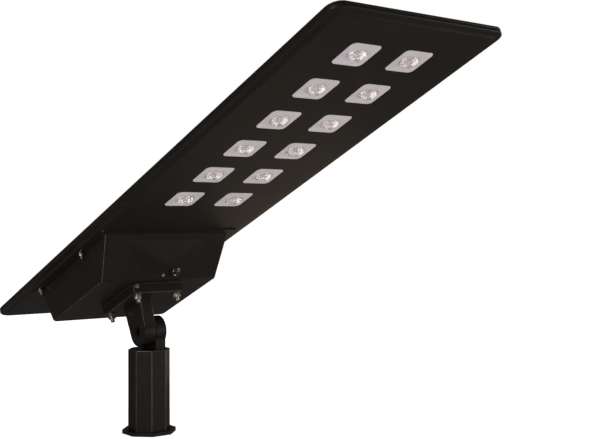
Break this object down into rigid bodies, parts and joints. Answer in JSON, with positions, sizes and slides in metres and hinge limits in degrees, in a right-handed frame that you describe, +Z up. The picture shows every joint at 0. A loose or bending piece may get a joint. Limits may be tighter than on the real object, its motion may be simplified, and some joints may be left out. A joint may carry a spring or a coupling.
{
  "type": "solar street lamp",
  "caption": "Long flat solar street lamp head with square lens pads, a battery box and a tilting bracket on an octagonal pole sleeve.",
  "frame": {"origin": "centre of the pole sleeve's mouth", "axes": "+Z up the pole, -Y towards the lamp's tip, +X across the head"},
  "size_m": [0.32, 1.0505, 0.6665],
  "materials": {
    "black_paint": "satin powder coat",
    "dark_steel": "black oxide",
    "bright_steel": "bright zinc plate",
    "friction_fibre": "pressed fibre",
    "black_rubber": "moulded",
    "solar_glass": "tempered glass",
    "solar_cell": "dark blue silicon",
    "backsheet": "film",
    "black_plastic": "moulded",
    "board_white": "white solder mask",
    "led_phosphor": "phosphor",
    "lens_clear": "frosted edge and clear dome",
    "cell_wrap": "shrink wrap",
    "nickel": "plain",
    "board_green": "solder mask",
    "light_lens": "clear",
    "lead_grey": "wire jacket",
    "lead_red": "wire jacket"
  },
  "bodies": {
    "sleeve": {"pole_sleeve": "black_paint", "pivot_bolt": "dark_steel", "pivot_nut": "bright_steel", "pivot_spring_washer": "bright_steel", "friction_disc": "friction_fibre"},
    "head": {"tilt_bracket": "black_paint", "battery_box": "black_paint", "lamp_pan": "black_paint", "top_frame": "black_paint", "bracket_studs": "bright_steel", "bracket_nuts": "bright_steel", "bracket_washers": "bright_steel", "box_studs": "bright_steel", "box_nuts": "bright_steel", "box_washers": "bright_steel", "board_screws": "bright_steel", "earth_screw": "bright_steel", "switch_body": "bright_steel", "switch_nut": "bright_steel", "bracket_gasket": "black_rubber", "box_gasket": "black_rubber", "lens_gaskets": "black_rubber", "cable_grommet": "black_rubber", "solar_glass": "solar_glass", "solar_cells": "solar_cell", "backsheet": "backsheet", "junction_box": "black_plastic", "cell_holders": "black_plastic", "battery_straps": "black_plastic", "charge_controller": "black_plastic", "left_led_board": "board_white", "right_led_board": "board_white", "led_chips": "led_phosphor", "left_lens_1": "lens_clear", "left_lens_2": "lens_clear", "left_lens_3": "lens_clear", "left_lens_4": "lens_clear", "left_lens_5": "lens_clear", "left_lens_6": "lens_clear", "right_lens_1": "lens_clear", "right_lens_2": "lens_clear", "right_lens_3": "lens_clear", "right_lens_4": "lens_clear", "right_lens_5": "lens_clear", "right_lens_6": "lens_clear", "battery_cells": "cell_wrap", "nickel_strips": "nickel", "battery_board": "board_green", "terminal_block": "board_green", "status_light": "light_lens", "lamp_lead": "lead_grey", "solar_lead": "lead_red", "battery_lead": "lead_red"},
    "power_button": {"switch_button": "bright_steel"},
    "set_screw_1": {"set_screw_1": "dark_steel"},
    "set_screw_2": {"set_screw_2": "dark_steel"},
    "set_screw_3": {"set_screw_3": "dark_steel"},
    "set_screw_4": {"set_screw_4": "dark_steel"}
  },
  "joints": [
    {"name": "head_tilt", "type": "hinge", "parent": "sleeve", "child": "head", "pos_m": [0, 0, 0.1875], "axis": [1, 0, 0], "range_deg": [-21.3, 23.7]},
    {"name": "power_press", "type": "slide", "parent": "head", "child": "power_button", "axis": [0, 0.9417, 0.3365], "range_m": [0, 0.0025], "stiffness_N_per_m": 800, "springref_m": -0.001},
    {"name": "set_screw_1_travel", "type": "slide", "parent": "sleeve", "child": "set_screw_1", "axis": [0.7071, 0.7071, 0], "range_m": [0, 0.003]},
    {"name": "set_screw_2_travel", "type": "slide", "parent": "sleeve", "child": "set_screw_2", "axis": [-0.7071, 0.7071, 0], "range_m": [0, 0.003]},
    {"name": "set_screw_3_travel", "type": "slide", "parent": "sleeve", "child": "set_screw_3", "axis": [-0.7071, -0.7071, 0], "range_m": [0, 0.003]},
    {"name": "set_screw_4_travel", "type": "slide", "parent": "sleeve", "child": "set_screw_4", "axis": [0.7071, -0.7071, 0], "range_m": [0, 0.003]}
  ]
}
